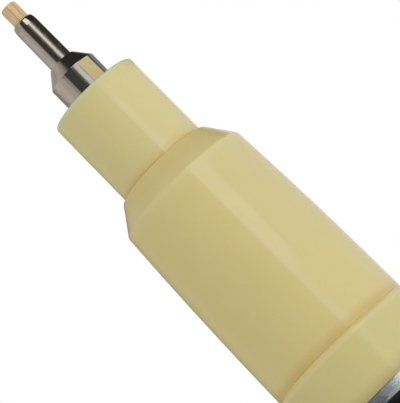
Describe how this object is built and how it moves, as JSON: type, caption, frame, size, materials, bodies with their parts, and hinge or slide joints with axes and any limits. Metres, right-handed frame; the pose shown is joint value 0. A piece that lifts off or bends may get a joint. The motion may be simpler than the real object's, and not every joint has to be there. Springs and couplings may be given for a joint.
{
  "type": "paint marker",
  "caption": "Slim extra-fine paint marker with a metal-sheathed sprung nib, pale yellow plastic grip and collar, black metal barrel, and its clip cap posted on the tail.",
  "frame": {"origin": "centre of the flat closed end of the posted cap, on the marker's axis", "axes": "+Z along the marker's axis towards the nib, -Y towards the cap's clip"},
  "size_m": [0.0118, 0.0142, 0.1549],
  "materials": {
    "cream_plastic": "semi-gloss translucent moulded",
    "nib_plastic": "extruded, matte",
    "sleeve_metal": "polished nickel",
    "barrel_metal": "black lacquer with a bare brushed ring",
    "valve_plastic": "moulded",
    "seal_rubber": "matte",
    "spring_steel": "bright"
  },
  "bodies": {
    "marker": {"barrel": "barrel_metal", "tail_plug": "cream_plastic", "front_section": "cream_plastic", "seal_ring": "seal_rubber", "valve_case": "valve_plastic", "valve_seat": "seal_rubber", "valve_spring": "spring_steel", "spring_retainer": "valve_plastic"},
    "tip": {"nib": "nib_plastic", "tip_sleeve": "sleeve_metal", "nib_holder": "valve_plastic"},
    "valve": {"valve_stem": "valve_plastic"},
    "agitator": {"agitator_ball": "spring_steel"},
    "cap": {"cap_shell": "cream_plastic", "cap_liner": "valve_plastic"}
  },
  "joints": [
    {"name": "tip_press", "type": "slide", "parent": "marker", "child": "tip", "axis": [0, 0, -1], "range_m": [0, 0.0013], "stiffness_N_per_m": 200, "springref_m": -0.001},
    {"name": "valve_lift", "type": "slide", "parent": "marker", "child": "valve", "axis": [0, 0, -1], "range_m": [0, 0.0013], "deforming": ["valve_spring"]},
    {"name": "ball_travel", "type": "slide", "parent": "marker", "child": "agitator", "axis": [0, 0, 1], "range_m": [0, 0.0811]},
    {"name": "cap_pull", "type": "slide", "parent": "marker", "child": "cap", "axis": [0, 0, -1], "range_m": [0, 0.03]}
  ],
  "couplings": [
    {"joint": "valve_lift", "follows": "tip_press", "ratio": 1}
  ]
}
